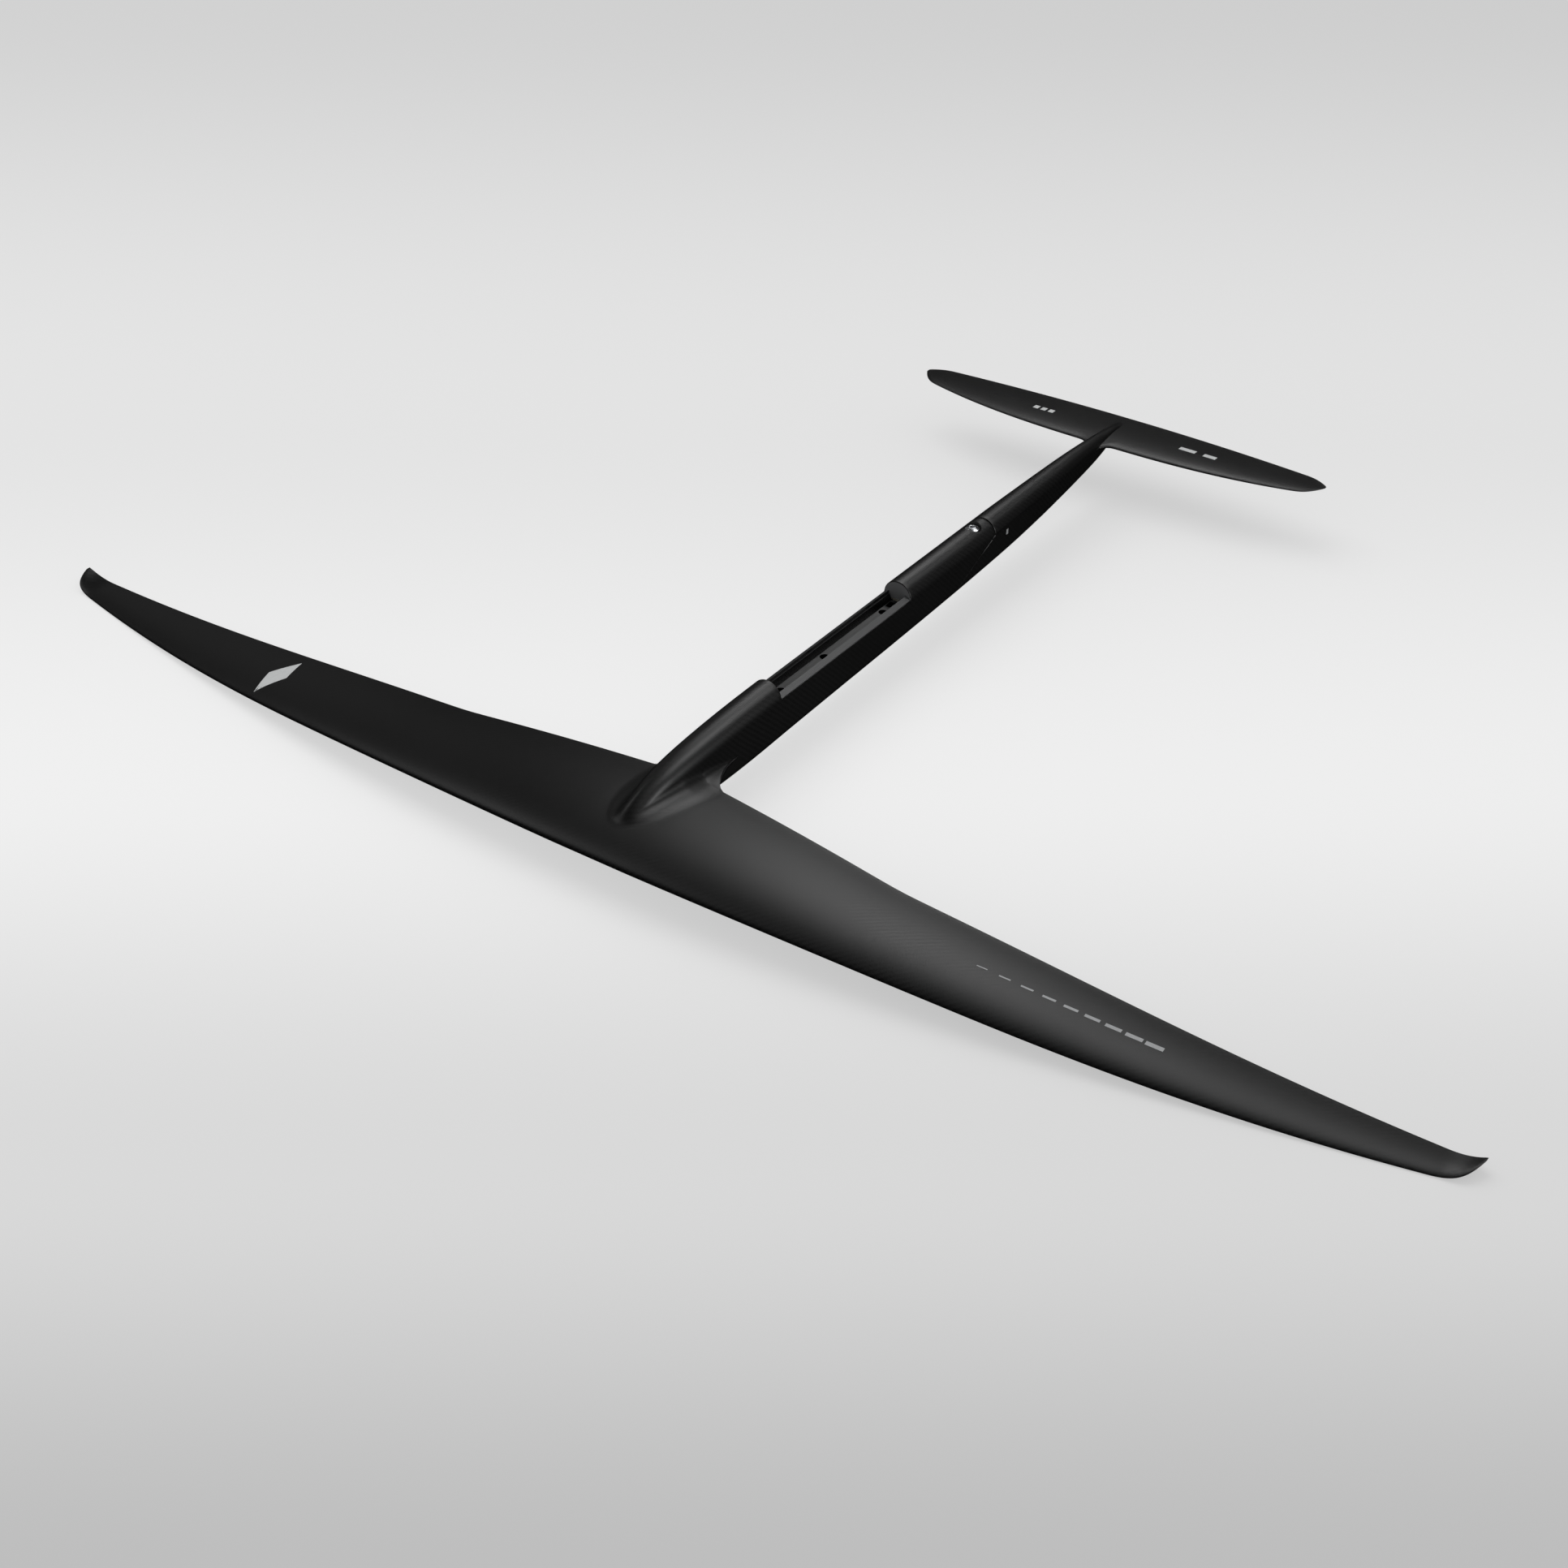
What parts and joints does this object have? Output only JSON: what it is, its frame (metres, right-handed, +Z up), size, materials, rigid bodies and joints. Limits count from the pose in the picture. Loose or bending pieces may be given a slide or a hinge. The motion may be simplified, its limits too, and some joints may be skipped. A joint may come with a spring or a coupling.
{
  "type": "hydrofoil front wing with fuselage and tail",
  "caption": "Slender black carbon hydrofoil wing moulded with its fuselage, with an open seat for a mast and a bolted tail unit that carries the stabiliser.",
  "frame": {"origin": "middle of the flat seat that the mast stands on, in the floor of the mast slot", "axes": "+X spanwise to port, +Y aft towards the tail, +Z up, away from the keel, square to the mast seat"},
  "size_m": [1.035, 0.6452, 0.0535],
  "materials": {
    "carbon_skin": "satin black carbon laminate with a fine ribbed weave",
    "solid_laminate": "machined solid carbon laminate",
    "foam_core": "closed-cell structural foam",
    "spar_carbon": "unidirectional carbon",
    "slot_liner": "machined grey laminate, satin",
    "stainless_steel": "bright stainless steel",
    "brass_insert": "machined brass"
  },
  "bodies": {
    "foil": {"wing_upper_skin_port": "carbon_skin", "wing_upper_skin_starboard": "carbon_skin", "wing_lower_skin_port": "carbon_skin", "wing_lower_skin_starboard": "carbon_skin", "fuselage_upper_shell": "carbon_skin", "fuselage_lower_shell": "carbon_skin", "lap_block": "solid_laminate", "slot_front_bulkhead": "solid_laminate", "slot_rear_bulkhead": "solid_laminate", "nose_core": "foam_core", "fuselage_core_middle": "foam_core", "fuselage_core_rear": "foam_core", "wing_core_front_port": "foam_core", "wing_core_front_starboard": "foam_core", "wing_core_rear_port": "foam_core", "wing_core_rear_starboard": "foam_core", "wing_spar": "spar_carbon", "mast_slot_liner": "slot_liner", "mast_sleeve_front": "stainless_steel", "mast_sleeve_middle": "stainless_steel", "mast_sleeve_rear": "stainless_steel", "screw_ferrule": "stainless_steel"},
    "tail_unit": {"tail_upper_shell": "carbon_skin", "tail_lower_shell": "carbon_skin", "tail_tongue": "solid_laminate", "tail_cone_core": "foam_core", "tail_thread_insert": "brass_insert", "stab_upper_skin": "carbon_skin", "stab_lower_skin": "carbon_skin", "stab_spar": "spar_carbon", "stab_core_front_port": "foam_core", "stab_core_front_starboard": "foam_core", "stab_core_rear_port": "foam_core", "stab_core_rear_starboard": "foam_core"},
    "tail_screw": {"tail_screw": "stainless_steel"}
  },
  "joints": [
    {"name": "tail_slide", "type": "slide", "parent": "foil", "child": "tail_unit", "axis": [0, 0, -1], "range_m": [0, 0.045]},
    {"name": "screw_slide", "type": "slide", "parent": "foil", "child": "tail_screw", "axis": [0, 0, 1], "range_m": [0, 0.035]}
  ]
}
